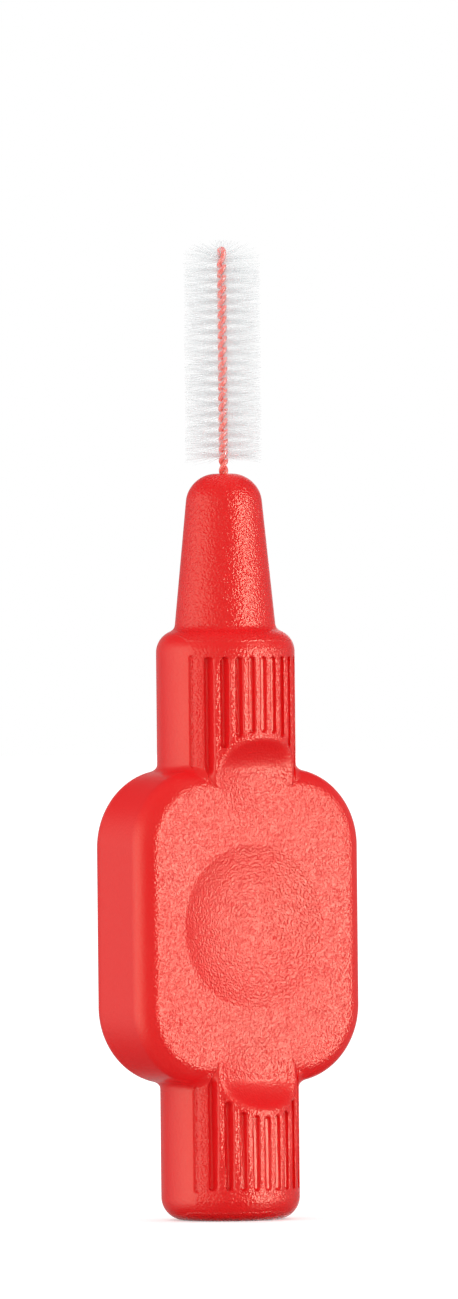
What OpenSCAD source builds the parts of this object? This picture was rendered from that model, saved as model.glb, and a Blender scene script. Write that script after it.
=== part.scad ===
// Interdental brush: a moulded handle with a grip plate, a coated twisted wire and its filaments.
// Millimetres. The brush stands on its butt: +Z runs up the brush, +X across the grip plate,
// and the front face of the plate looks along -Y. The origin is the middle of the butt.

/* [Handle] */
// Length of the moulded handle, from butt to neck tip
handle_l = 41.4; // [39:0.1:45]
// Diameter of the round grip
grip_d = 7.7; // [7.1:0.05:8.4]
// Height of the shoulder above the butt
shoulder_z = 32.75; // [31.5:0.05:34]
// Rounding of the shoulder
shoulder_r = 1.25; // [0.8:0.05:1.35]
// Rounding of the butt's edge
butt_r = 1.3; // [0.8:0.05:1.4]

/* [Neck] */
// Diameter of the neck where it leaves the shoulder
neck_base_d = 5.64; // [5:0.02:6]
// Diameter that the neck's taper would reach at the tip
neck_tip_d = 3.92; // [3.6:0.02:4.4]
// Rounding of the neck's tip
neck_tip_r = 1.5; // [1:0.05:1.6]

/* [Grip plate] */
// Width of the grip plate
plate_w = 14.7; // [13.5:0.1:17]
// Height of the grip plate
plate_h = 17.4; // [17:0.1:19]
// Thickness of the grip plate
plate_t = 5.55; // [5:0.05:5.9]
// Height of the middle of the plate above the butt
plate_z = 16.3; // [15.8:0.05:17]
// Corner radius of the plate, seen from the front
plate_corner_r = 4.3; // [3:0.1:5]
// Rounding of the plate's edge
plate_edge_r = 1.2; // [0.8:0.05:1.5]

/* [Scoops and dishes] */
// Height over which each scoop lies flush with the plate
scoop_h = 15.5; // [14.5:0.1:16.2]
// Depth by which a scoop lies below the plate's face
scoop_sink = 0.02; // [0.01:0.01:0.1]
// Radius with which a scoop runs out through the grip
scoop_run_r = 3.65; // [3:0.05:4]
// Diameter of the fingertip dish in each face
dish_d = 9.2; // [7:0.1:10]
// Depth of the dish
dish_depth = 0.65; // [0.4:0.05:0.9]

/* [Flutes] */
// Number of flutes on each face of the grip
flute_count = 9; // [5:2:9]
// Distance from flute to flute
flute_pitch = 0.7; // [0.6:0.01:0.76]
// Width of a flute
flute_w = 0.52; // [0.3:0.02:0.54]
// Depth of a flute
flute_depth = 0.3; // [0.12:0.02:0.34]
// Height at which the flutes start
flute_low_z = 1.75; // [1.5:0.05:2.5]
// Height at which the flutes end
flute_top_z = 31.2; // [30:0.05:31.4]
// Land that is left between a flute's end and the scoop's rim
flute_land = 0.4; // [0.2:0.05:0.8]
// Distance from the middle plane to the line that borders each side flank
side_line_x = 3.42; // [3.3:0.01:3.5]
// Width of that line
side_line_w = 0.12; // [0.08:0.01:0.16]
// Depth of that line
side_line_depth = 0.07; // [0.04:0.01:0.1]

/* [Wire] */
// Diameter of the bare steel wire
wire_d = 0.17; // [0.12:0.01:0.2]
// Thickness of the coating on the wire
coat_t = 0.03; // [0.02:0.005:0.05]
// Gap between the two strands that the filaments fill
strand_gap = 0.07; // [0.06:0.005:0.1]
// Height of one full turn of the twist
twist_pitch = 1.14; // [1:0.02:1.6]
// Length of wire that stands out of the neck
wire_out = 12.6; // [11:0.1:14]
// Length of wire that is held in the neck
wire_in = 6; // [5:0.1:7]
// Radial clearance of the wire in its seat
seat_fit = 0.01; // [0.005:0.005:0.05]

/* [Filaments] */
// Diameter over the filaments' ends
brush_d = 4.3; // [3:0.1:6]
// Bare wire between the neck and the first filament
brush_bare = 0.8; // [0.5:0.1:2]
// Distance from the last filament to the wire's bend
brush_end = 0.06; // [0.04:0.01:0.3]
// Rows of filaments, one strand to each side
row_count = 240; // [150:1:250]
// Thickness of the layer of filament roots
root_t = 0.04; // [0.03:0.002:0.046]
// Thickness of a filament at its end
filament_tip = 0.026; // [0.016:0.002:0.03]
// Height over which the last filaments lean up
fan_h = 1; // [0.5:0.1:2]
// How far the very last filament leans up
fan_rise = 0.75; // [0.2:0.05:1]

/* [Hidden] */

// Faces of large, middling and small round shapes
large_fn = 128;
middle_fn = 64;
small_fn = 24;
// Length by which a cutter runs past what it cuts
over = 0.5;

// Handle, neck and plate
grip_r = grip_d / 2;
neck_base_r = neck_base_d / 2;
neck_end_r = neck_tip_d / 2;
neck_lean = atan((neck_base_r - neck_end_r) / (handle_l - shoulder_z));
tip_z = handle_l - neck_tip_r;
tip_x = neck_end_r + (handle_l - tip_z) * tan(neck_lean) - neck_tip_r / cos(neck_lean);
plate_face = plate_t / 2;
plate_in_w = plate_w - 2 * plate_corner_r;
plate_in_h = plate_h - 2 * plate_corner_r;
dish_r = dish_d / 2;
dish_ball = (dish_r * dish_r + dish_depth * dish_depth) / (2 * dish_depth);
scoop_face = plate_face - scoop_sink;

// Wire: two strands at strand_r from the axis, joined by a half turn over the tip
coat_r = wire_d / 2 + coat_t;
strand_r = coat_r + strand_gap / 2;
pair_r = strand_r + coat_r;
wire_low = handle_l - wire_in;
seat_low = wire_low - coat_r;
bend_z = handle_l + wire_out - pair_r;
relax_z = bend_z - twist_pitch / 2;
steps_a_turn = 8;
wire_sides = 6;
wire_steps = round(steps_a_turn * (bend_z - wire_low) / twist_pitch);
bend_steps = 5;

// Filaments
strand_sides = 4;
row_low = handle_l + brush_bare;
row_high = bend_z - brush_end;
row_step = (row_high - row_low) / row_count;
brush_r = brush_d / 2;

// Distance from the middle plane to the grip's surface at x
function grip_face(x) = sqrt(grip_r * grip_r - x * x);

// Height of a scoop's rim above the middle of the plate, at x across the grip
function rim_rise(x) = let (proud = grip_face(x) - scoop_face)
    scoop_h / 2 + sqrt(2 * scoop_run_r * proud - proud * proud);

// Turn of the wire at height z: steady, then easing to rest at the bend
function turn(z) = let (past = max(0, z - relax_z), ease = bend_z - relax_z)
    360 * (z - wire_low - past * past / (2 * ease)) / twist_pitch;
function turn_rate(z) = (1 - max(0, z - relax_z) / (bend_z - relax_z)) * 2 * PI / twist_pitch;

function unit(v) = v / norm(v);
function spoke(angle) = [cos(angle), sin(angle), 0];
function tangent(angle) = [-sin(angle), cos(angle), 0];

// One place along the wire: its centre, the way out from the axis, and the way along
function going_up(z) =
    [strand_r * spoke(turn(z)) + [0, 0, z],
     spoke(turn(z)),
     unit(strand_r * turn_rate(z) * tangent(turn(z)) + [0, 0, 1])];
function going_down(z) =
    [-strand_r * spoke(turn(z)) + [0, 0, z],
     -spoke(turn(z)),
     unit(strand_r * turn_rate(z) * tangent(turn(z)) - [0, 0, 1])];
function over_the_tip(angle) = let (out = cos(angle) * spoke(turn(bend_z)) + [0, 0, sin(angle)])
    [strand_r * out + [0, 0, bend_z],
     out,
     -sin(angle) * spoke(turn(bend_z)) + [0, 0, cos(angle)]];
function wire_height(step) = wire_low + (bend_z - wire_low) * step / wire_steps;
wire_path = concat(
    [for (i = [0 : wire_steps]) going_up(wire_height(i))],
    [for (j = [1 : bend_steps - 1]) over_the_tip(180 * j / bend_steps)],
    [for (i = [wire_steps : -1 : 0]) going_down(wire_height(i))]);

// Points of a tube of radius r round the wire's path, ring after ring
function wire_rings(r) = [for (place = wire_path, k = [0 : wire_sides - 1])
    let (angle = 360 * k / wire_sides)
    place[0] + r * (cos(angle) * place[1] + sin(angle) * cross(place[2], place[1]))];

// Two triangles for the four-sided face a, b, c, d
function pair(a, b, c, d) = [[a, b, c], [a, c, d]];
function flat_list(lists) = [for (list = lists) for (item = list) item];

// Skin between the rings of a tube whose points start at first; turned inside out when inward
function skin(first, inward) = flat_list([
    for (i = [0 : len(wire_path) - 2], k = [0 : wire_sides - 1])
        let (low = first + i * wire_sides, next = (k + 1) % wire_sides, high = low + wire_sides)
        inward
            ? pair(low + k, low + next, high + next, high + k)
            : pair(low + k, high + k, high + next, low + next)]);

// Half of the handle's round section, from the axis out
module handle_half() {
    lean_x = tip_x + neck_tip_r * cos(neck_lean);
    lean_z = tip_z + neck_tip_r * sin(neck_lean);
    square([grip_r - butt_r, shoulder_z - shoulder_r]);
    translate([0, butt_r]) square([grip_r, shoulder_z - shoulder_r - butt_r]);
    translate([grip_r - butt_r, butt_r]) circle(r = butt_r, $fn = middle_fn);
    translate([0, butt_r]) square([grip_r - shoulder_r, shoulder_z - butt_r]);
    translate([grip_r - shoulder_r, shoulder_z - shoulder_r]) circle(r = shoulder_r, $fn = middle_fn);
    polygon([
        [0, shoulder_z - shoulder_r],
        [neck_base_r, shoulder_z - shoulder_r],
        [neck_base_r, shoulder_z],
        [lean_x, lean_z],
        [0, lean_z]]);
    intersection() {
        translate([tip_x, tip_z]) circle(r = neck_tip_r, $fn = middle_fn);
        translate([0, tip_z]) square([tip_x + neck_tip_r, neck_tip_r]);
    }
    translate([0, tip_z]) square([tip_x, neck_tip_r]);
}

// Cutter for a round-ended flute at x on the front of the grip, from z = low to z = high
module flute(x, wide, deep, low, high) {
    r = wide / 2;
    translate([x, deep - grip_face(x), 0]) rotate([90, 0, 0]) linear_extrude(deep + over) {
        for (z = [low + r, high - r]) translate([0, z]) circle(r = r, $fn = small_fn);
        translate([-r, low + r]) square([wide, high - low - wide]);
    }
}

// Flutes of one face: the middle ones stop short of the scoop, the outer ones run behind the plate
module face_flutes() {
    half_count = (flute_count - 1) / 2;
    for (k = [-half_count : half_count]) {
        x = k * flute_pitch;
        if (grip_face(x) > scoop_face) {
            rim = rim_rise(x) + flute_land;
            flute(x, flute_w, flute_depth, flute_low_z, plate_z - rim);
            flute(x, flute_w, flute_depth, plate_z + rim, flute_top_z);
        } else {
            flute(x, flute_w, flute_depth, flute_low_z, flute_top_z);
        }
    }
    for (x = [-side_line_x, side_line_x])
        flute(x, side_line_w, side_line_depth, flute_low_z, flute_top_z);
}

// Cutter for one scoop: flush with the plate's face, then a long hollow curve up to the grip
module scoop() {
    deep = scoop_run_r + over;
    translate([-grip_r - over, -scoop_face, plate_z]) rotate([90, 0, 90])
        linear_extrude(grip_d + 2 * over) {
            translate([-deep, -scoop_h / 2]) square([deep, scoop_h]);
            for (end = [-1, 1])
                translate([-scoop_run_r, end * scoop_h / 2]) circle(r = scoop_run_r, $fn = large_fn);
        }
}

// Section across the plate's rim: a slab w wide whose corners are rounded
module slab(w, t) {
    square([w - 2 * plate_edge_r, t], center = true);
    square([w, t - 2 * plate_edge_r], center = true);
    for (x = [-1, 1], y = [-1, 1])
        translate([x * (w / 2 - plate_edge_r), y * (t / 2 - plate_edge_r)])
            circle(r = plate_edge_r, $fn = middle_fn);
}

module plate() {
    translate([0, 0, -plate_in_h / 2]) linear_extrude(plate_in_h) slab(plate_w, plate_t);
    rotate([90, 0, 90]) translate([0, 0, -plate_in_w / 2]) linear_extrude(plate_in_w)
        slab(plate_t, plate_h);
    for (x = [0, 1], z = [0, 1]) mirror([x, 0, 0]) mirror([0, 0, z])
        translate([plate_in_w / 2, 0, plate_in_h / 2]) rotate([90, 0, 0])
            rotate_extrude(angle = 90, $fn = large_fn) intersection() {
                slab(2 * plate_corner_r, plate_t);
                translate([0, -plate_t / 2]) square([plate_corner_r, plate_t]);
            }
}

module handle() {
    color([0.91, 0.2, 0.18]) difference() {
        union() {
            difference() {
                rotate_extrude($fn = large_fn) handle_half();
                for (turned = [0, 180]) rotate([0, 0, turned]) {
                    face_flutes();
                    scoop();
                }
            }
            translate([0, 0, plate_z]) plate();
        }
        for (turned = [0, 180]) rotate([0, 0, turned])
            translate([0, -plate_face + dish_depth - dish_ball, plate_z]) sphere(r = dish_ball, $fn = large_fn);
        translate([0, 0, seat_low])
            cylinder(r = pair_r + seat_fit, h = handle_l + over - seat_low, $fn = small_fn);
    }
}

// Steel wire, folded over at the tip and twisted on itself
module wire_core() {
    last = (len(wire_path) - 1) * wire_sides;
    color([0.72, 0.72, 0.74]) polyhedron(
        points = wire_rings(wire_d / 2),
        faces = concat(
            skin(0, false),
            [for (k = [1 : wire_sides - 2]) [0, k, k + 1]],
            [for (k = [1 : wire_sides - 2]) [last, last + k + 1, last + k]]));
}

// Polymer coating: a sleeve along the whole wire, open only at its two cut ends
module wire_coating() {
    count = len(wire_path) * wire_sides;
    last = count - wire_sides;
    color([0.95, 0.45, 0.4]) polyhedron(
        points = concat(wire_rings(coat_r), wire_rings(wire_d / 2)),
        faces = concat(
            skin(0, false),
            skin(count, true),
            flat_list([for (k = [0 : wire_sides - 1]) let (next = (k + 1) % wire_sides)
                pair(k, next, count + next, count + k)]),
            flat_list([for (k = [0 : wire_sides - 1]) let (next = (k + 1) % wire_sides)
                pair(last + k, count + last + k, count + last + next, last + next)])));
}

// Filaments: a twisted layer of roots, pinched between the strands, with a strand from each edge
function row_z(i) = row_low + i * row_step;
function row_turn(z) = turn(z) + 90;
function lean(z) = let (past = max(0, z - row_high + fan_h) / fan_h) fan_rise * past * past;

// Six points of the root layer at row i: its four corners, then the middles of its back and front
function root_points(i) = let (z = row_z(i), out = pair_r * spoke(row_turn(z)),
                               aside = root_t / 2 * tangent(row_turn(z)), up = [0, 0, z])
    [out + aside + up, out - aside + up, -out - aside + up, -out + aside + up, up - aside, up + aside];
root_corners = 6;

// Both faces of the root layer between two rows, split alike at the axis so that they stay apart
function root_faces(low, high) = concat(
    pair(low, high, high + 5, low + 5),
    pair(low + 5, high + 5, high + 3, low + 3),
    pair(low + 1, low + 4, high + 4, high + 1),
    pair(low + 4, low + 2, high + 2, high + 4));

function end_points(i, side) = let (z = row_z(i + 1 / 2), out = side * brush_r * spoke(row_turn(z)),
                                    aside = side * filament_tip / 2 * tangent(row_turn(z)),
                                    up = [0, 0, z + lean(z)], half = [0, 0, filament_tip / 2])
    [out + aside + up - half, out - aside + up - half, out - aside + up + half, out + aside + up + half];

// Sides and end of the strand that grows from root edge a, b, c, d to end points at first
function strand(a, b, c, d, first) = concat(
    pair(a, b, first + 1, first),
    pair(b, c, first + 2, first + 1),
    pair(c, d, first + 3, first + 2),
    pair(d, a, first, first + 3),
    pair(first, first + 1, first + 2, first + 3));

module filaments() {
    roots = [for (i = [0 : row_count]) each root_points(i)];
    right_ends = [for (i = [0 : row_count - 1]) each end_points(i, 1)];
    left_ends = [for (i = [0 : row_count - 1]) each end_points(i, -1)];
    right = len(roots);
    left = right + len(right_ends);
    top = root_corners * row_count;
    color([0.93, 0.93, 0.93]) polyhedron(
        points = concat(roots, right_ends, left_ends),
        faces = concat(
            flat_list([for (i = [0 : row_count - 1])
                let (low = root_corners * i, high = low + root_corners, end = strand_sides * i) concat(
                    root_faces(low, high),
                    strand(low, low + 1, high + 1, high, right + end),
                    strand(low + 2, low + 3, high + 3, high + 2, left + end))]),
            pair(0, 5, 4, 1),
            pair(5, 3, 2, 4),
            pair(top, top + 1, top + 4, top + 5),
            pair(top + 5, top + 4, top + 2, top + 3)));
}

handle();
wire_core();
wire_coating();
filaments();
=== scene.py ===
# %% [markdown]
# An interdental brush is four pieces: a moulded handle, a steel wire folded and twisted on itself, the
# polymer coat that the wire wears, and the nylon filaments that the twist pinches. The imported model
# gives their places. This script gives them their finish, and it works in metres in the same frame.

# %% Load the frame
import math

import bpy
import numpy as np
from mathutils import Matrix, Vector


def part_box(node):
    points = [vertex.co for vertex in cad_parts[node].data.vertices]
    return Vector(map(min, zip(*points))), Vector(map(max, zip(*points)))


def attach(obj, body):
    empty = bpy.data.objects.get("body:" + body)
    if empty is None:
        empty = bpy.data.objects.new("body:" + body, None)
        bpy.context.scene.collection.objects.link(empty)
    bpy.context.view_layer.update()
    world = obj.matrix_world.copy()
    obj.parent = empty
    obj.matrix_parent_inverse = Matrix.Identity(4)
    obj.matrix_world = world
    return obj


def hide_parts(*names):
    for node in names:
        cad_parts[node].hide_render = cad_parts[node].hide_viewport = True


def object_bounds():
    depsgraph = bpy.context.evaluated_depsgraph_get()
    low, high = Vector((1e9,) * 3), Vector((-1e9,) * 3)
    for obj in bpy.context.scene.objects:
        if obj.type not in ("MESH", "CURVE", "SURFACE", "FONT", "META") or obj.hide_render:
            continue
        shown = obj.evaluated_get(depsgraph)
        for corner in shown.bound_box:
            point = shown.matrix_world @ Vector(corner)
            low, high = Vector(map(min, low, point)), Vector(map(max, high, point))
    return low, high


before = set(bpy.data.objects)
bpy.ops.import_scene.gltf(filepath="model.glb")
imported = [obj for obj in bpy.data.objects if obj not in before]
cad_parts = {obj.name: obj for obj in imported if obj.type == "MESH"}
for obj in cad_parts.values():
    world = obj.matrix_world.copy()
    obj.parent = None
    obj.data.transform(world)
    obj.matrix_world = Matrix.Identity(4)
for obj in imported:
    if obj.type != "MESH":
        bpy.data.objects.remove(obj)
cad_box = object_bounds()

MM = 0.001


def in_mm(corners, digits=2):
    """The corners of a box in rounded millimetres."""
    return [[round(value / MM, digits) for value in corner] for corner in corners]


print("nodes:", sorted(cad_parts))
print("box in mm:", in_mm(cad_box))

# %% [markdown]
# The camera looks level at the brush from its left front, so that the plate's face and its left flank
# both show. A short lens would make the plate swell towards the camera. A very long lens from far away
# keeps upright edges parallel, as a catalogue picture does, so the lens is worked out from the
# distance and from the height that the picture covers.

# %% Camera
VIEW_AZIMUTH = math.radians(-33)
VIEW_ROLL = math.radians(0.56)
PHOTO_HEIGHT_PX = 1299
BUTT_ROW_PX = 1219.5
AXIS_OFFSET_PX = 3.7
PIXEL = 0.0555 * MM
CAMERA_DISTANCE = 800 * MM
CLIP_START = 10 * MM


def place_object(name, data):
    """An object that shows the data, linked into the scene."""
    thing = bpy.data.objects.new(name, data)
    bpy.context.scene.collection.objects.link(thing)
    return thing


up = Vector((0, 0, 1))
to_camera = Vector((math.sin(VIEW_AZIMUTH), -math.cos(VIEW_AZIMUTH), 0))
to_right = Vector((math.cos(VIEW_AZIMUTH), math.sin(VIEW_AZIMUTH), 0))
picture_height = PHOTO_HEIGHT_PX * PIXEL
aim = to_right * AXIS_OFFSET_PX * PIXEL + up * (BUTT_ROW_PX - PHOTO_HEIGHT_PX / 2) * PIXEL

# On an upright picture, the sensor's width spans the picture's height.
camera_data = bpy.data.cameras.new("camera")
camera_data.lens = camera_data.sensor_width * CAMERA_DISTANCE / picture_height
camera_data.clip_start = CLIP_START
camera = place_object("camera", camera_data)
camera.matrix_world = (
    Matrix.Translation(aim + to_camera * CAMERA_DISTANCE)
    @ to_camera.to_track_quat("Z", "Y").to_matrix().to_4x4()
    @ Matrix.Rotation(-VIEW_ROLL, 4, "Z"))
bpy.context.scene.camera = camera
bpy.context.scene.view_settings.view_transform = "Standard"
print("lens in mm:", round(camera_data.lens))

# %% [markdown]
# Every finish is a tree of nodes, and the same few lines add a node each time. So small helpers do it:
# one adds a node, sets its plain values and links what comes in. The others do sums with nodes, mix
# two numbers or colours, start or end a material and start a group. A mix node has sockets for each
# kind of data under the same names, so they are told apart by their numbers.

# %% Node helpers
NUMBER_A, NUMBER_B = 2, 3
COLOUR_A, COLOUR_B, COLOUR_OUT = 6, 7, 2


def add_node(tree, kind, inputs=None, **settings):
    """Adds a node. An input is a value, or a socket that is linked to it."""
    node = tree.nodes.new(kind)
    for name, value in settings.items():
        setattr(node, name, value)
    for name, value in (inputs or {}).items():
        if isinstance(value, bpy.types.NodeSocket):
            tree.links.new(value, node.inputs[name])
        else:
            node.inputs[name].default_value = value
    return node


def compute(tree, operation, *values):
    """The outcome of a sum with numbers, as a socket."""
    node = add_node(tree, "ShaderNodeMath", dict(enumerate(values)), operation=operation)
    return node.outputs["Value"]


def compute_vector(tree, operation, *values):
    """A sum with vectors. Its outcome is the node's output Vector, or Value where it is a number."""
    return add_node(tree, "ShaderNodeVectorMath", dict(enumerate(values)), operation=operation)


def mix_numbers(tree, share, a, b):
    """A number that goes from a to b as the share goes from 0 to 1, as a socket."""
    return add_node(tree, "ShaderNodeMix", {"Factor": share, NUMBER_A: a, NUMBER_B: b}).outputs[0]


def mix_colours(tree, share, a, b):
    node = add_node(tree, "ShaderNodeMix", {"Factor": share, COLOUR_A: a, COLOUR_B: b},
                    data_type="RGBA")
    return node.outputs[COLOUR_OUT]


def start_material(name):
    material = bpy.data.materials.new(name)
    material.use_nodes = True
    material.node_tree.nodes.clear()
    return material, material.node_tree


def finish_material(tree, shader):
    add_node(tree, "ShaderNodeOutputMaterial", {"Surface": shader})


def start_group(name, inputs, outputs):
    """A group of nodes. Inputs are (name, socket type, default), outputs are (name, socket type)."""
    group = bpy.data.node_groups.new(name, "ShaderNodeTree")
    for socket_name, kind, default in inputs:
        socket = group.interface.new_socket(socket_name, in_out="INPUT", socket_type=kind)
        socket.default_value = default
    for socket_name, kind in outputs:
        group.interface.new_socket(socket_name, in_out="OUTPUT", socket_type=kind)
    return group, group.nodes.new("NodeGroupInput"), group.nodes.new("NodeGroupOutput")


print("a mix of numbers reads inputs", NUMBER_A, "and", NUMBER_B, "of its node")

# %% [markdown]
# A small glossy object on white stands in a light tent. The tent gives the same soft light from every
# side, so the red looks alike all round. What draws the form is what the gloss mirrors: a tall softbox
# at the right front, a wide weaker one at the left, a dim room between them and the pale backdrop
# behind. Lamps could do this, but one set would be needed for the soft light and another for the
# mirror images. So the world does both: it gives plain light to matt surfaces, and only to mirrored
# rays it shows the studio, which is drawn with two ramps, one round the brush and one up and down.

# %% Ramps for the studio
FULL_TURN, HALF_TURN = 360, 180
RAMP_MIDDLE = 0.5
AROUND_SHARES = [
    (-173, 0.035), (-160, 0.02), (-128, 0.02), (-105, 0.08), (-75, 0.205), (-55, 0.19), (-38, 0.09),
    (-20, 0.015), (0, 0.004), (15, 0.006), (28, 0.018), (38, 0.11), (46, 0.55), (52, 1.0), (58, 0.97),
    (66, 0.7), (74, 0.4), (86, 0.13), (100, 0.04), (120, 0.022), (160, 0.02), (173, 0.09)]
LIFT_SHARES = [
    (-80, 0.01), (-48, 0.02), (-36, 0.16), (-26, 0.6), (-14, 1.0), (6, 1.0), (18, 0.85), (26, 0.45),
    (34, 0.15), (50, 0.03), (85, 0.02)]


def share_ramp(tree, angle, shares, whole):
    """A ramp over an angle in radians. Shares are (degrees, share), and whole is the ramp's range."""
    half = math.radians(whole) / 2
    place = add_node(tree, "ShaderNodeMapRange", {"Value": angle, "From Min": -half, "From Max": half})
    ramp = add_node(tree, "ShaderNodeValToRGB", {"Fac": place.outputs["Result"]})
    stops = ramp.color_ramp.elements
    for _ in shares[2:]:
        stops.new(RAMP_MIDDLE)
    for stop, (degrees, _) in zip(stops, shares):
        stop.position = degrees / whole + RAMP_MIDDLE
    for stop, (_, share) in zip(stops, shares):
        stop.color = (share, share, share, 1)
    return ramp.outputs["Color"]


print("stops round the brush:", len(AROUND_SHARES), "and up and down:", len(LIFT_SHARES))

# %% World
TENT_LIGHT = 1.14
BACKDROP = 1.0
BOX_RADIANCE = 13.8
WHITE = (1, 1, 1, 1)

world = bpy.data.worlds.new("studio")
bpy.context.scene.world = world
world.use_nodes = True
tree = world.node_tree
tree.nodes.clear()
way = add_node(tree, "ShaderNodeTexCoord").outputs["Generated"]
forward, sideways, upward = [
    compute_vector(tree, "DOT_PRODUCT", way, side).outputs["Value"] for side in (to_camera, to_right, up)]
around = share_ramp(tree, compute(tree, "ARCTAN2", sideways, forward), AROUND_SHARES, FULL_TURN)
lift = share_ramp(tree, compute(tree, "ARCSINE", upward), LIFT_SHARES, HALF_TURN)
mirror_image = compute(tree, "MULTIPLY", compute(tree, "MULTIPLY", around, lift), BOX_RADIANCE)
seen = add_node(tree, "ShaderNodeLightPath").outputs
mirrored = compute(tree, "MAXIMUM", seen["Is Glossy Ray"], seen["Is Transmission Ray"])
for_rays = mix_numbers(tree, mirrored, TENT_LIGHT, mirror_image)
strength = mix_numbers(tree, seen["Is Camera Ray"], for_rays, BACKDROP)
sky = add_node(tree, "ShaderNodeBackground", {"Color": WHITE, "Strength": strength})
add_node(tree, "ShaderNodeOutputWorld", {"Surface": sky.outputs[0]})
print("tent light", TENT_LIGHT, "and softbox", BOX_RADIANCE)

# %% [markdown]
# The floor is a pale sheet that the brush stands on. The camera should see it as white as the backdrop
# behind it, yet it has to keep the soft shadow at the butt. So it is a plain diffuse sheet with a
# little light of its own that only the camera sees. Gloss mirrors the studio through it, because the
# softboxes reach below the table's edge.

# %% Floor
FLOOR_SIZE = 6.0
FLOOR_PAINT = (0.75, 0.75, 0.75, 1)
FLOOR_GLOW = 0.4

half = FLOOR_SIZE / 2
floor_mesh = bpy.data.meshes.new("floor")
floor_mesh.from_pydata(
    [(-half, -half, 0), (half, -half, 0), (half, half, 0), (-half, half, 0)], [], [(0, 1, 2, 3)])
floor = place_object("floor", floor_mesh)
floor_finish, tree = start_material("pale_sheet")
seen = add_node(tree, "ShaderNodeLightPath").outputs
glow = compute(tree, "MULTIPLY", seen["Is Camera Ray"], FLOOR_GLOW)
paper = add_node(tree, "ShaderNodeBsdfDiffuse", {"Color": FLOOR_PAINT})
light = add_node(tree, "ShaderNodeEmission", {"Strength": glow})
both = add_node(tree, "ShaderNodeAddShader", {0: paper.outputs[0], 1: light.outputs[0]})
finish_material(tree, both.outputs[0])
floor_mesh.materials.append(floor_finish)
floor.visible_glossy = False
print("floor:", FLOOR_SIZE, "m")

# %% [markdown]
# The handle came out of a mould as one solid with soft edges everywhere, even in the flutes. Sharp CAD
# edges could be softened with a bevel, but bevels fail where a flute, a hollow and the plate meet.
# Here the handle is a distance field instead: for each point in space, a formula gives how far it is
# from the surface. Two fields join or cut each other with a chosen softness, which gives the same
# small radii that the mould has. The flutes are cut straight in, the way the mould opens, and the
# lands between them have nearly flat tops for the same reason. The sizes are in millimetres. The three
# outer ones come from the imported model.

# %% Handle sizes
_, (half_width, GRIP_R, HANDLE_L) = in_mm(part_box("handle"), 3)
SHOULDER_Z, SHOULDER_R, BUTT_R = 32.75, 1.25, 1.3
NECK_BASE_R, NECK_END_R, NECK_TIP_R = 2.82, 1.96, 1.5
PLATE_W, PLATE_H, PLATE_T, PLATE_Z = 2 * half_width, 17.4, 5.55, 16.3
PLATE_CORNER_R, PLATE_EDGE_R = 4.3, 1.2
SCOOP_H, SCOOP_RUN_R, SCOOP_MID_Z, SCOOP_END_H = 15.8, 2.6, 16.42, 0.5
TROUGH_DEPTH, TROUGH_HALF_W, TROUGH_FROM, TROUGH_CLEAR = 0.22, 1.9, 4.4, 0.15
DISH_R, DISH_DEPTH, DISH_LEAN = 4.6, 0.62, 0.3
FLUTE_PITCH, FLUTE_SIDE_COUNT, FLUTE_W = 0.7, 4, 0.32
FLUTE_DEPTH, FLUTE_DEEPEST, FLUTE_FLOOR_R = 0.16, 0.42, 0.1
FLUTE_FADE, FLUTE_FADE_H = 0.1, 5.0
FLUTE_LOW_Z, FLUTE_TOP_Z, FLUTE_LAND = 1.75, 31.2, 0.5
LAND_FLATNESS, LAND_END_H = 0.6, 0.4
LINE_X, LINE_R, LINE_DEPTH = 3.42, 0.08, 0.12
NECK_LEAN = math.atan((NECK_BASE_R - NECK_END_R) / (HANDLE_L - SHOULDER_Z))
PLATE_FACE = PLATE_T / 2
print("handle in mm:", round(PLATE_W, 2), round(2 * GRIP_R, 2), HANDLE_L)

# %% Softness of the handle's joins and cuts
CREASE_SOFT = 0.3
FLUTE_SOFT = 0.06
LINE_SOFT = 0.08
RIM_SOFT = 0.35
TROUGH_SOFT = 0.12
FILLET_SOFT, LEAST_SOFT = 0.45, 0.001
DISH_SOFT = 0.05


def rounded_corner(a, b, r):
    """Distance to a solid inside the walls a and b, whose shared edge has radius r."""
    a, b = a + r, b + r
    return np.minimum(np.maximum(a, b), 0) + np.hypot(np.maximum(a, 0), np.maximum(b, 0)) - r


def soft_join(a, b, soft):
    share = np.maximum(soft - np.abs(a - b), 0) / soft
    return np.minimum(a, b) - share * share * soft / 4


def soft_cut(a, b, soft):
    """Solid a without solid b."""
    return -soft_join(-a, b, soft)


def smooth_step(low, high, value):
    t = np.clip((value - low) / (high - low), 0, 1)
    return t * t * (3 - 2 * t)


print("the neck's crease is filled by mm:", round(-float(soft_join(0, 0, CREASE_SOFT)), 3))

# %% [markdown]
# The grip's round face drops away towards its sides, so each form on it is worked out from how far the
# face stands proud there. The rim of the hollow lies where its run cuts that face, which makes an
# arch, and the flutes end a short land away from it.

# %% Faces and rims of the grip
def grip_face(x):
    return np.sqrt(np.maximum(GRIP_R ** 2 - x * x, 0))


def trough_dip(x):
    """How deep the hollow is sunk under the plate's face: above zero in the middle, below at the sides."""
    return TROUGH_DEPTH * (1 - (x / TROUGH_HALF_W) ** 2)


def rim_height(x):
    """How far above or below the plate's middle the rim of the hollow lies."""
    proud = np.maximum(grip_face(x) - PLATE_FACE + trough_dip(x), 0)
    return SCOOP_H / 2 + np.sqrt(np.maximum(2 * SCOOP_RUN_R * proud - proud ** 2, 0))


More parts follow.
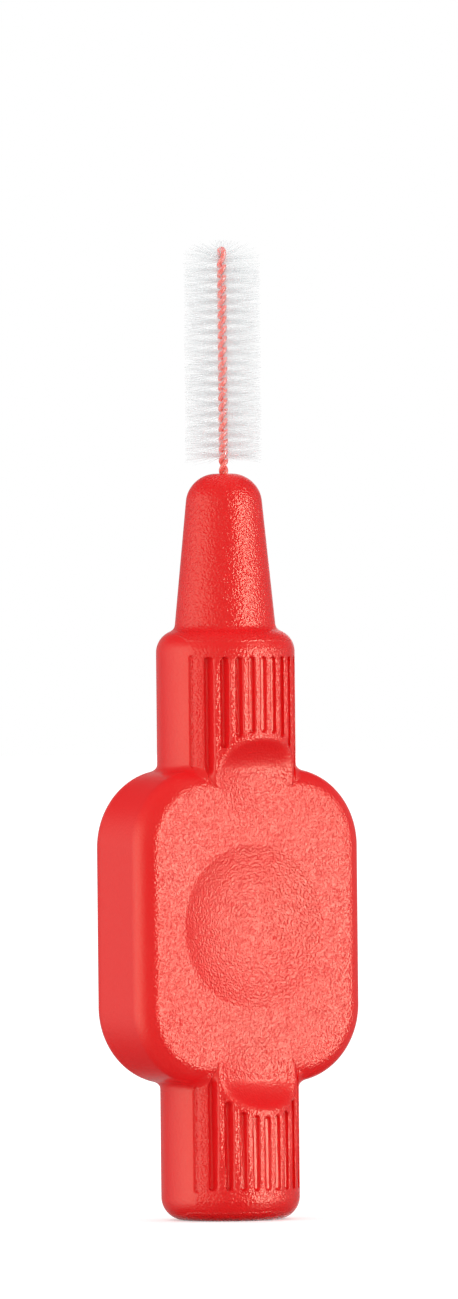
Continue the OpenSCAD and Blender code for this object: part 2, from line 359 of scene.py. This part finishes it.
def land_step(x, z):
    """How far the nearly flat tops of the lands between the flutes stand off the round grip."""
    across = np.abs(x)
    land = np.clip(across // FLUTE_PITCH, 0, FLUTE_SIDE_COUNT - 1)
    step = LAND_FLATNESS * (grip_face((land + 0.5) * FLUTE_PITCH) - grip_face(across))
    past_rim = np.abs(z - SCOOP_MID_Z) - rim_height(x) - FLUTE_LAND
    share = smooth_step(0, LAND_END_H, FLUTE_TOP_Z - z) * smooth_step(0, LAND_END_H, past_rim)
    share = share * smooth_step(0, FLUTE_FADE_H / 2, z - FLUTE_LOW_Z)
    return np.where(across < FLUTE_SIDE_COUNT * FLUTE_PITCH, step * share, 0)


print("top of the arch over the plate's middle in mm:", round(float(rim_height(0)), 2))

# %% Fields of the grip and the hollows
def barrel_field(x, y, z):
    """The round grip with the tapered neck on its shoulder."""
    out = np.hypot(x, np.maximum(np.abs(y) - land_step(x, z), 0))
    edge = np.where(z < SHOULDER_Z / 2, BUTT_R, SHOULDER_R)
    barrel = rounded_corner(out - GRIP_R, np.abs(z - SHOULDER_Z / 2) - SHOULDER_Z / 2, edge)
    side = (out - NECK_BASE_R) * math.cos(NECK_LEAN) + (z - SHOULDER_Z) * math.sin(NECK_LEAN)
    neck = np.maximum(rounded_corner(side, z - HANDLE_L, NECK_TIP_R), SHOULDER_Z - SHOULDER_R - z)
    return soft_join(barrel, neck, CREASE_SOFT)


def scoop_field(y, z, dip):
    """The hollow over and under the plate: flush with its face, then a curve out through the grip."""
    along = np.maximum(np.abs(z - SCOOP_MID_Z) - SCOOP_H / 2, 0)
    inward = np.minimum(np.abs(y) - PLATE_FACE + dip - SCOOP_RUN_R, 0)
    return np.hypot(along, inward) - SCOOP_RUN_R


def hollow_field(x, y, z):
    """The hollow as it is cut from the grip. Its floor rises at the sides, so its rim is an arch."""
    share = smooth_step(SCOOP_H / 2 - SCOOP_END_H, SCOOP_H / 2, np.abs(z - SCOOP_MID_Z))
    return scoop_field(y, z, np.minimum(trough_dip(x), 0) * share)


def trough_field(x, y, z):
    """The hollow again, sunk into the face as a shallow trough that runs out before the dish."""
    share = smooth_step(TROUGH_FROM, SCOOP_H / 2, np.abs(z - SCOOP_MID_Z))
    return scoop_field(y, z, (trough_dip(x) + TROUGH_CLEAR) * share - TROUGH_CLEAR)


print("field at the butt's middle:", round(float(barrel_field(0.0, 0.0, 0.0)), 3))

# %% Fields of the flutes and the fine lines
FLUTE_X = FLUTE_PITCH * np.arange(FLUTE_SIDE_COUNT + 1)
LAND_FACE = grip_face(FLUTE_X + FLUTE_PITCH / 2)
FLUTE_FLOOR = np.maximum(LAND_FACE - FLUTE_DEPTH, grip_face(FLUTE_X) - FLUTE_DEEPEST)
FLUTE_RIM = np.where(grip_face(FLUTE_X) > PLATE_FACE, rim_height(FLUTE_X) + FLUTE_LAND, 0)


def flute_field(x, y, z):
    """The nearest of the narrow, round-ended flutes, cut along Y, the way that the mould opens."""
    nearest = np.clip(np.rint(np.abs(x) / FLUTE_PITCH), 0, FLUTE_SIDE_COUNT).astype(int)
    across = np.abs(x) - FLUTE_X[nearest]
    rise = z - SCOOP_MID_Z
    end = np.where(rise > 0, FLUTE_TOP_Z - SCOOP_MID_Z, SCOOP_MID_Z - FLUTE_LOW_Z)
    middle, half = (end + FLUTE_RIM[nearest]) / 2, (end - FLUTE_RIM[nearest]) / 2
    along = np.maximum(np.abs(np.abs(rise) - middle) - half + FLUTE_W / 2, 0)
    fade = FLUTE_FADE * (1 - smooth_step(FLUTE_LOW_Z, FLUTE_LOW_Z + FLUTE_FADE_H, z))
    fade = fade * (1 - (FLUTE_X[nearest] / GRIP_R) ** 2)
    above_floor = FLUTE_FLOOR[nearest] + fade - np.abs(y)
    return rounded_corner(np.hypot(across, along) - FLUTE_W / 2, above_floor, FLUTE_FLOOR_R)


def line_field(x, y, z):
    """The fine line that borders each smooth side flank."""
    half = (FLUTE_TOP_Z - FLUTE_LOW_Z) / 2
    along = np.maximum(np.abs(z - (FLUTE_LOW_Z + FLUTE_TOP_Z) / 2) - half, 0)
    inward = np.maximum(grip_face(LINE_X) - LINE_DEPTH + LINE_R - np.abs(y), 0)
    return np.sqrt((np.abs(x) - LINE_X) ** 2 + along ** 2 + inward ** 2) - LINE_R


print("flutes from the middle out stand at mm:", FLUTE_X.round(2).tolist())

# %% Fields of the plate, its dish and the whole handle
FILLET_FROM, FILLET_FULL = SCOOP_H / 2, PLATE_H / 2 - PLATE_EDGE_R / 4


def plate_field(x, y, rise):
    outline = rounded_corner(np.abs(x) - PLATE_W / 2, np.abs(rise) - PLATE_H / 2, PLATE_CORNER_R)
    return rounded_corner(outline, np.abs(y) - PLATE_FACE, PLATE_EDGE_R)


def dish_field(x, y, rise):
    """A shallow bowl whose left wall is steeper than its right one."""
    lean = 1 - DISH_LEAN * x / DISH_R
    bowl = 1 - (x * x + rise * rise) / DISH_R ** 2
    depth = DISH_DEPTH * bowl * lean
    slope_across = 2 * x / DISH_R * lean + DISH_LEAN * bowl
    slope_along = 2 * rise / DISH_R * lean
    slope = DISH_DEPTH / DISH_R * np.hypot(slope_across, slope_along)
    return (PLATE_FACE - depth - np.abs(y)) / np.sqrt(1 + slope ** 2)


def handle_field(x, y, z):
    rise = z - PLATE_Z
    body = barrel_field(x, y, z)
    body = soft_cut(body, flute_field(x, y, z), FLUTE_SOFT)
    body = soft_cut(body, line_field(x, y, z), LINE_SOFT)
    body = soft_cut(body, hollow_field(x, y, z), RIM_SOFT)
    fillet = FILLET_SOFT * np.maximum(smooth_step(FILLET_FROM, FILLET_FULL, np.abs(rise)), LEAST_SOFT)
    body = soft_join(body, plate_field(x, y, rise), fillet)
    body = soft_cut(body, trough_field(x, y, z), TROUGH_SOFT)
    return soft_cut(body, dish_field(x, y, rise), DISH_SOFT)


print("field in the dish's middle:", round(float(handle_field(0.0, PLATE_FACE - DISH_DEPTH, PLATE_Z)), 3))

# %% [markdown]
# A field becomes a mesh with a surface net: space is cut into small cells, each cell that the surface
# passes through gets one point, and neighbouring points are joined into quads. The points are then
# eased apart and pulled onto the true surface, so that the cells leave no steps.

# %% Surface net
def surface_net(xs, ys, zs, field):
    """Points, in cell middles, and quads round the zero surface of a field on a grid."""
    solid = field < 0
    counts = sum(solid[i:i + len(xs) - 1, j:j + len(ys) - 1, k:k + len(zs) - 1].astype(np.int8)
                 for i in (0, 1) for j in (0, 1) for k in (0, 1))
    cells = np.argwhere((counts > 0) & (counts < 8))
    index = np.full(counts.shape, -1)
    index[tuple(cells.T)] = np.arange(len(cells))
    middles = [(v[1:] + v[:-1]) / 2 for v in (xs, ys, zs)]
    points = np.stack([m[cells[:, a]] for a, m in enumerate(middles)], 1)
    quads = []
    for axis in range(3):
        inside, numbers = np.moveaxis(solid, axis, 0), np.moveaxis(index, axis, 0)
        i, j, k = np.nonzero(inside[1:, 1:-1, 1:-1] != inside[:-1, 1:-1, 1:-1])
        quad = np.stack([numbers[i, j, k], numbers[i, j + 1, k], numbers[i, j + 1, k + 1],
                         numbers[i, j, k + 1]], 1)
        backward = inside[i, j + 1, k + 1] == (axis == 1)
        quad[backward] = quad[backward][:, ::-1]
        quads.append(quad)
    return points, np.concatenate(quads)


lone_point = np.ones((3, 3, 3))
lone_point[1, 1, 1] = -1
lone_net = surface_net(np.arange(3), np.arange(3), np.arange(3), lone_point)
print("net round one solid grid point:", len(lone_net[0]), "points and", len(lone_net[1]), "quads")

# %% Onto the true surface
GRADIENT_REACH = 0.004
LEAST_SLOPE = 0.5


def field_gradient(field, points):
    slopes = []
    for axis in range(3):
        step = np.zeros(3)
        step[axis] = GRADIENT_REACH
        ahead, back = points + step, points - step
        slopes.append((field(*ahead.T) - field(*back.T)) / (2 * GRADIENT_REACH))
    return np.stack(slopes, 1)


def pull_onto_surface(field, points, rounds):
    for _ in range(rounds):
        slope = field_gradient(field, points)
        size = np.maximum((slope ** 2).sum(1), LEAST_SLOPE ** 2)
        points = points - (field(*points.T) / size)[:, None] * slope
    return points


def ease_apart(points, quads):
    """Moves each point to the mean of the middles of the quads round it."""
    middles = np.repeat(points[quads].mean(1), 4, 0)
    around = np.maximum(np.bincount(quads.ravel(), minlength=len(points)), 1)
    sums = [np.bincount(quads.ravel(), middles[:, axis], len(points)) for axis in range(3)]
    return np.stack([total / around for total in sums], 1)


pulled = pull_onto_surface(handle_field, np.array([[0.0, 0.0, -1.0]]), 1)
print("a point 1 mm under the butt is pulled to mm:", pulled.round(3).tolist())

# %% Mesh helper
def make_piece(name, points, faces, normals=None):
    """A mesh object from points in millimetres, with smooth shading."""
    mesh = bpy.data.meshes.new(name)
    mesh.from_pydata((np.asarray(points) * MM).tolist(), [], faces)
    mesh.shade_smooth()
    if normals is not None:
        mesh.normals_split_custom_set_from_vertices(normals.tolist())
    print(name, "has", len(mesh.vertices), "points and", len(mesh.polygons), "faces")
    return place_object(name, mesh)


# %% Handle mesh
GRID_MARGIN = 0.15
LINE_ZONE = 0.25
FLUTE_STEP, LINE_STEP, SIDE_STEP, DEPTH_STEP, HEIGHT_STEP = 0.055, 0.04, 0.11, 0.085, 0.09
SLAB = 40
EASE_ROUNDS, PULL_ROUNDS = 3, 4


def both_ways(stops, steps):
    """Grid lines from the middle out through the stops, a step for each stretch, and mirrored."""
    stretches = [np.arange(a, b, step) for a, b, step in zip(stops[:-1], stops[1:], steps)]
    lines = np.concatenate(stretches + [[stops[-1]]])
    return np.concatenate([-lines[:0:-1], lines])


def handle_slab(low):
    """The field on a few layers of the grid. All of them at once would take a lot of memory."""
    layers = grid_z[None, None, low:low + SLAB]
    return handle_field(grid_x[:, None, None], grid_y[None, :, None], layers).astype(np.float32)


grid_x = both_ways([0, LINE_X - LINE_ZONE, LINE_X + LINE_ZONE, PLATE_W / 2 + GRID_MARGIN],
                   [FLUTE_STEP, LINE_STEP, SIDE_STEP])
grid_y = both_ways([0, GRIP_R + GRID_MARGIN], [DEPTH_STEP])
grid_z = np.arange(-GRID_MARGIN, HANDLE_L + GRID_MARGIN, HEIGHT_STEP)
field = np.concatenate([handle_slab(low) for low in range(0, len(grid_z), SLAB)], 2)
handle_points, quads = surface_net(grid_x, grid_y, grid_z, field)
for _ in range(EASE_ROUNDS):
    handle_points = ease_apart(pull_onto_surface(handle_field, handle_points, 1), quads)
handle_points = pull_onto_surface(handle_field, handle_points, PULL_ROUNDS)
normals = field_gradient(handle_field, handle_points)
normals /= np.linalg.norm(normals, axis=1)[:, None]
handle = make_piece("moulded_handle", handle_points, quads.tolist(), normals)

# %% [markdown]
# The mould was spark-eroded, so the faces that fingers touch carry a fine pebbled grain, while the
# flutes, the flanks and the walls of the hollows were polished. A painted mask could say where the
# grain lies. The same fields that shaped the handle know it already, so each point keeps its share of
# grain as an attribute.

# %% Where the grain lies
POLISHED_SHARE = 0.22
FLUTE_EDGE, LINE_EDGE = 0.09, 0.03
PLATE_FAR, PLATE_NEAR = 0.4, 0.1
FACE_FROM_SHARE, FACE_FULL_SHARE = 0.85, 0.98
WALL_POLISH_SHARE = 0.8
WALL_FROM_SHARE, WALL_FULL_SHARE = 0.1, 0.35

x, y, z = handle_points.T
rise = z - PLATE_Z
facing_front, facing_up = np.abs(normals[:, 1]), np.abs(normals[:, 2])
in_flute = 1 - smooth_step(0.0, FLUTE_EDGE, flute_field(x, y, z))
on_wall = smooth_step(WALL_FROM_SHARE, WALL_FULL_SHARE, facing_up) * (np.abs(rise) < SCOOP_H)
on_plate = smooth_step(-PLATE_FAR, -PLATE_NEAR, -plate_field(x, y, rise))
plate_front = on_plate * smooth_step(FACE_FROM_SHARE, FACE_FULL_SHARE, facing_front)
on_barrel = (1 - on_plate) * (1 - smooth_step(LINE_X - LINE_EDGE, LINE_X + LINE_EDGE, np.abs(x)))
on_barrel *= 1 - in_flute * (z < FLUTE_TOP_Z)
on_barrel *= 1 - WALL_POLISH_SHARE * on_wall
grain = POLISHED_SHARE + (1 - POLISHED_SHARE) * np.clip(plate_front + on_barrel, 0, 1)
attribute = handle.data.attributes.new("grain", "FLOAT", "POINT")
attribute.data.foreach_set("value", grain.astype(np.float32))
print("mean share of grain:", round(float(grain.mean()), 2))

# %% [markdown]
# Grain is used on more than one piece, so it is a node group. Spark erosion leaves small rounded
# pebbles of uneven size. Noise alone looks like sand, and cells alone look like leather, so the height
# mixes both, and a second output gives the wide slow drift in sheen that every moulding has.

# %% Grain group
HANDLE_CELL, HANDLE_DRIFT = 0.12 * MM, 4 * MM
PEBBLE_SHARE = 0.4

grain_group, given, result = start_group(
    "spark_grain",
    [("Cell", "NodeSocketFloat", HANDLE_CELL), ("Drift", "NodeSocketFloat", HANDLE_DRIFT)],
    [("Height", "NodeSocketFloat"), ("Drift", "NodeSocketFloat")])
place = add_node(grain_group, "ShaderNodeTexCoord").outputs["Object"]
fine = compute(grain_group, "DIVIDE", 1.0, given.outputs["Cell"])
slow = compute(grain_group, "DIVIDE", 1.0, given.outputs["Drift"])
sand = add_node(grain_group, "ShaderNodeTexNoise", {
    "Vector": place, "Scale": fine, "Detail": 0.5, "Roughness": 0.4})
pebbles = add_node(grain_group, "ShaderNodeTexVoronoi", {
    "Vector": place, "Scale": fine, "Smoothness": 0.6}, feature="SMOOTH_F1")
wide = add_node(grain_group, "ShaderNodeTexNoise", {"Vector": place, "Scale": slow, "Detail": 1.0})
height = mix_numbers(grain_group, PEBBLE_SHARE, sand.outputs[0], pebbles.outputs["Distance"])
grain_group.links.new(height, result.inputs["Height"])
grain_group.links.new(wide.outputs[0], result.inputs["Drift"])
print("group:", grain_group.name)

# %% [markdown]
# The handle is polypropylene, coloured right through, so one Principled shader is enough. Its gloss is
# tinted, because a plain white one would burn out the red where a softbox is mirrored. A little of the
# light scatters inside. The bump is scaled by each point's share of grain.

# %% Handle finish
HANDLE_RED = (0.83, 0.013, 0.015, 1)
HANDLE_GLOSS = (0.74, 0.96, 0.72, 1)
HANDLE_ROUGHNESS, SHEEN_SPREAD = 0.23, 0.05
GRAIN_HEIGHT = 0.075 * MM
HANDLE_SCATTER = 0.5 * MM

handle_finish, tree = start_material("moulded_red_plastic")
pattern = add_node(tree, "ShaderNodeGroup", node_tree=grain_group)
share = add_node(tree, "ShaderNodeAttribute", attribute_name="grain")
relief = compute(tree, "MULTIPLY", pattern.outputs["Height"], share.outputs["Fac"])
bump = add_node(tree, "ShaderNodeBump", {"Height": relief, "Distance": GRAIN_HEIGHT})
sheen = add_node(tree, "ShaderNodeMapRange", {
    "Value": pattern.outputs["Drift"], "To Min": HANDLE_ROUGHNESS - SHEEN_SPREAD,
    "To Max": HANDLE_ROUGHNESS + SHEEN_SPREAD})
shader = add_node(tree, "ShaderNodeBsdfPrincipled", {
    "Base Color": HANDLE_RED, "Roughness": sheen.outputs["Result"], "IOR": 1.5,
    "Normal": bump.outputs["Normal"], "Specular Tint": HANDLE_GLOSS,
    "Subsurface Weight": 0.15, "Subsurface Scale": HANDLE_SCATTER})
finish_material(tree, shader.outputs[0])
handle.data.materials.append(handle_finish)
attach(handle, "root")
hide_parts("handle")
print("finish:", handle_finish.name)

# %% [markdown]
# The wire is one length of coated steel, folded in half at the tip. The two halves wind round each
# other, and the twist eases off just below the fold. A screw modifier gives only a plain helix, so the
# path is a formula that turns with height and then goes over the fold in a half circle. Its values are
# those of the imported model.

# %% Wire path
WIRE_R, COAT_T, STRAND_GAP = 0.085, 0.03, 0.07
TWIST_PITCH, WIRE_OUT, WIRE_IN = 1.14, 12.6, 6.0
PAIR_R = 2 * (WIRE_R + COAT_T) + STRAND_GAP / 2
STRAND_R = PAIR_R / 2
WIRE_LOW = HANDLE_L - WIRE_IN
BEND_Z = HANDLE_L + WIRE_OUT - PAIR_R
RELAX_Z = BEND_Z - TWIST_PITCH / 2
PATH_STEP = 0.035
BEND_STEPS = 10


def wire_turn(z):
    """Angle of the twist at height z: steady, then easing to rest at the fold."""
    past = np.maximum(z - RELAX_Z, 0)
    return 2 * math.pi * (z - WIRE_LOW - past ** 2 / (2 * (BEND_Z - RELAX_Z))) / TWIST_PITCH


def spoke(angle):
    return np.stack([np.cos(angle), np.sin(angle), np.zeros_like(angle)], -1)


heights = np.linspace(WIRE_LOW, BEND_Z, int((BEND_Z - WIRE_LOW) / PATH_STEP))
one_side = STRAND_R * spoke(wire_turn(heights)) + heights[:, None] * np.array([0, 0, 1])
other_side = one_side * [-1, -1, 1]
over = np.pi * np.arange(1, BEND_STEPS)[:, None] / BEND_STEPS
last_out = spoke(np.array(wire_turn(BEND_Z)))
fold = STRAND_R * (np.cos(over) * last_out + np.sin(over) * [0, 0, 1]) + [0, 0, BEND_Z]
path = np.concatenate([one_side, fold, other_side[::-1]])
print("wire length in mm:", round(float(np.linalg.norm(np.diff(path, axis=0), axis=1).sum()), 1))

# %% Wire coat mesh
COAT_SIDES = 14
NO_WIRE_WAY = (0.3, 0.5, 0.8)


def sweep(path, radius, sides):
    """A closed tube along the path, as points and faces, with its frame carried from ring to ring."""
    along = np.gradient(path, axis=0)
    along /= np.linalg.norm(along, axis=1)[:, None]
    angle = 2 * np.pi * np.arange(sides)[:, None] / sides
    out = np.cross(along[0], NO_WIRE_WAY)
    rings = []
    for centre, way in zip(path, along):
        out = out - way * out.dot(way)
        out /= np.linalg.norm(out)
        rings.append(centre + radius * (np.cos(angle) * out + np.sin(angle) * np.cross(way, out)))
    k = np.arange(sides)
    last = (len(path) - 1) * sides
    low = np.arange(0, last, sides)[:, None]
    ahead = (k + 1) % sides
    quads = np.stack([low + k, low + ahead, low + ahead + sides, low + k + sides], 2)
    ends = [k[::-1].tolist(), (last + k).tolist()]
    return np.concatenate(rings), quads.reshape(-1, 4).tolist() + ends


coat_points, coat_faces = sweep(path, STRAND_R, COAT_SIDES)
coat = make_piece("wire_coat", coat_points, coat_faces)

# %% [markdown]
# The coat is a thin polymer, a lighter and pinker red than the handle because light gets through it to
# the bright steel. It is a glossy surface with a little light scattered inside, under a clear layer.

# %% Coat finish
COAT_CORAL, COAT_PALE = (0.98, 0.18, 0.145, 1), (1.0, 0.28, 0.24, 1)
COAT_CELL, COAT_DRIFT = 0.05 * MM, 0.6 * MM
COAT_GRAIN_HEIGHT = 0.002 * MM
COAT_SCATTER = 0.15 * MM

coat_finish, tree = start_material("coral_wire_coat")
pattern = add_node(tree, "ShaderNodeGroup", {"Cell": COAT_CELL, "Drift": COAT_DRIFT},
                   node_tree=grain_group)
bump = add_node(tree, "ShaderNodeBump", {
    "Height": pattern.outputs["Height"], "Distance": COAT_GRAIN_HEIGHT})
shader = add_node(tree, "ShaderNodeBsdfPrincipled", {
    "Base Color": mix_colours(tree, pattern.outputs["Drift"], COAT_CORAL, COAT_PALE),
    "Roughness": 0.22, "IOR": 1.5, "Coat Weight": 0.5, "Normal": bump.outputs["Normal"],
    "Subsurface Weight": 0.5, "Subsurface Scale": COAT_SCATTER})
finish_material(tree, shader.outputs[0])
coat.data.materials.append(coat_finish)
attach(coat, "root")
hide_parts("wire_coating")
print("finish:", coat_finish.name)

# %% [markdown]
# The steel lies inside the coat and can't be seen on the finished brush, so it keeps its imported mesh.
# It still gets the look of drawn wire: bare metal whose roughness varies along fine marks.

# %% Steel finish
STEEL_GREY = (0.55, 0.55, 0.57, 1)
MARK_SIZE = 0.03 * MM
SMOOTHEST_STEEL, ROUGHEST_STEEL = 0.25, 0.45

steel_finish, tree = start_material("drawn_steel")
place = add_node(tree, "ShaderNodeTexCoord").outputs["Object"]
drawn = add_node(tree, "ShaderNodeTexNoise", {"Vector": place, "Scale": 1 / MARK_SIZE})
rough = add_node(tree, "ShaderNodeMapRange", {
    "Value": drawn.outputs[0], "To Min": SMOOTHEST_STEEL, "To Max": ROUGHEST_STEEL})
shader = add_node(tree, "ShaderNodeBsdfPrincipled", {
    "Base Color": STEEL_GREY, "Metallic": 1.0, "Roughness": rough.outputs["Result"]})
finish_material(tree, shader.outputs[0])
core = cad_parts["wire_core"]
core.data.materials.clear()
core.data.materials.append(steel_finish)
print("wire core keeps its CAD mesh:", core.name)

# %% [markdown]
# The filaments lie across the wire, pinched between its strands, so they follow the twist as a double
# spiral staircase. Particle hair could stand them on a surface, but here their order is the look: the
# wire pinches them into a row at each half turn, most tightly on one side, and each row fans out until
# the tips stand evenly. At the fold they lean up into a flat dome. Each strand starts inside the
# twist, with a little seeded disorder in its angle, length and rise.

# %% Filament places
STRANDS_A_SIDE = 2100
FAN_H = 0.8
BRUSH_END, TOP_GAP = 0.06, 0.01
AROUND_SPREAD, TIP_DISORDER = 0.42, 3
PINCH_LEFT, PINCH_RIGHT, ROW_FAN = 0.7, 0.05, 1.2
GOLDEN_SHARE = 0.618034
ROW_H = TWIST_PITCH / 2
SEED = 7
rng = np.random.default_rng(SEED)

brush_low, brush_high = in_mm(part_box("filaments"), 3)
BRUSH_R, BRUSH_BARE = brush_high[0], round(brush_low[2] - HANDLE_L, 3)
row_low, row_high = HANDLE_L + BRUSH_BARE, BEND_Z - BRUSH_END
step = np.arange(STRANDS_A_SIDE) + rng.random(STRANDS_A_SIDE)
z = row_low + (row_high - row_low) * step / STRANDS_A_SIDE
z = np.concatenate([z, z])
side = np.repeat([0, np.pi], STRANDS_A_SIDE)
at_tip = (np.maximum(z - row_high + FAN_H, 0) / FAN_H) ** 2
row_angle = wire_turn(z) + np.pi / 2
angle = row_angle + side
turn = rng.normal(0, AROUND_SPREAD, len(z)) * (1 + TIP_DISORDER * at_tip)
half_turns = (row_angle - VIEW_AZIMUTH) / np.pi
from_row = (half_turns - np.rint(half_turns)) * ROW_H * (1 - at_tip)
on_left = np.cos(angle - VIEW_AZIMUTH) < 0
pinch = np.where(on_left, PINCH_LEFT, PINCH_RIGHT) * from_row
root_z = z - pinch
print("strands:", len(z))

# %% Filament reach
FAN_LEAN = math.radians(80)
REACH_SPREAD, RISE_SPREAD = 0.05, 0.03

top = cad_box[1].z / MM - TOP_GAP
fan = np.arange(len(z)) * GOLDEN_SHARE % 1 - 0.5
lean = at_tip * FAN_LEAN * rng.random(len(z))
reach = BRUSH_R * (1 - REACH_SPREAD * rng.random(len(z)) ** 2)
reach = 1 / np.hypot(np.cos(lean) / reach, np.sin(lean) / (top - z))
rise = pinch + fan * ROW_FAN * ROW_H * (1 - at_tip) + reach * np.sin(lean)
rise += rng.normal(0, RISE_SPREAD, len(z))
reach = reach * np.cos(lean)
print("longest and shortest reach in mm:", round(float(reach.max()), 2), round(float(reach.min()), 2))

# %% Filament mesh
FILAMENT_R, TAPER_SHARE = 0.0095, 0.35
ROOT_R = 0.04
BEND_POWER = 0.6
STRAND_RINGS, STRAND_SIDES = 5, 4
STRAND_SIZE = STRAND_RINGS * STRAND_SIDES

t = np.linspace(0, 1, STRAND_RINGS)
way_out = angle[:, None] + turn[:, None] * t ** BEND_POWER
out, across = spoke(way_out), spoke(way_out + np.pi / 2)
run = ROOT_R + (reach[:, None] - ROOT_R) * t
centre = out * run[..., None]
centre[..., 2] += root_z[:, None] + rise[:, None] * t
thick = FILAMENT_R * (1 - TAPER_SHARE * t ** 2)
corners = []
for aside, upright in ((1, 0), (0, 1), (-1, 0), (0, -1)):
    corner = centre + (thick[:, None] * aside) * across
    corner[..., 2] += thick * upright
    corners.append(corner)
strand_points = np.stack(corners, 2).reshape(-1, 3)
strand_points[:, 2] = np.minimum(strand_points[:, 2], top)

k = np.arange(STRAND_SIDES)
first = STRAND_SIZE * np.arange(len(z))[:, None]
rings = first[..., None] + STRAND_SIDES * np.arange(STRAND_RINGS - 1)[:, None]
low, ahead = rings + k, rings + (k + 1) % STRAND_SIDES
quads = np.stack([low, ahead, ahead + STRAND_SIDES, low + STRAND_SIDES], -1).reshape(-1, 4)
roots, tips = first + k[::-1], first + STRAND_SIZE - STRAND_SIDES + k
strand_faces = np.concatenate([quads, tips, roots]).tolist()
bristles = make_piece("nylon_filaments", strand_points, strand_faces)

# %% [markdown]
# Nylon monofilament is nearly clear. On a white ground its strands look pale grey, because each one
# bends the light from behind it and shows the dim room instead. Real refraction in thousands of
# strands is slow and noisy, so the strands are a pale surface that lets light through. They let less
# through near the wire, where the real ones lie pressed together. Soft light passes them as if they
# weren't there, because clear strands hardly shade each other.

# %% Filament finish
NYLON_GREY, NYLON_PALE = (0.81, 0.86, 0.87, 1), (0.88, 0.92, 0.93, 1)
NYLON_CELL, NYLON_DRIFT = 0.1 * MM, 0.8 * MM
DENSE_R, LOOSE_R = 0.3 * MM, 1.2 * MM
DENSE_COVER, LOOSE_COVER = 0.46, 0.23
LEVEL = (1, 1, 0)

nylon, tree = start_material("nylon")
pattern = add_node(tree, "ShaderNodeGroup", {"Cell": NYLON_CELL, "Drift": NYLON_DRIFT},
                   node_tree=grain_group)
place = add_node(tree, "ShaderNodeTexCoord").outputs["Object"]
level = compute_vector(tree, "MULTIPLY", place, LEVEL).outputs["Vector"]
from_axis = compute_vector(tree, "LENGTH", level).outputs["Value"]
cover = add_node(tree, "ShaderNodeMapRange", {
    "Value": from_axis, "From Min": DENSE_R, "From Max": LOOSE_R,
    "To Min": DENSE_COVER, "To Max": LOOSE_COVER})
shader = add_node(tree, "ShaderNodeBsdfPrincipled", {
    "Base Color": mix_colours(tree, pattern.outputs["Drift"], NYLON_GREY, NYLON_PALE),
    "Roughness": 0.35, "IOR": 1.53, "Alpha": cover.outputs["Result"]})
finish_material(tree, shader.outputs[0])
bristles.data.materials.append(nylon)
bristles.visible_diffuse = False
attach(bristles, "root")
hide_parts("filaments")
print("finish:", nylon.name)
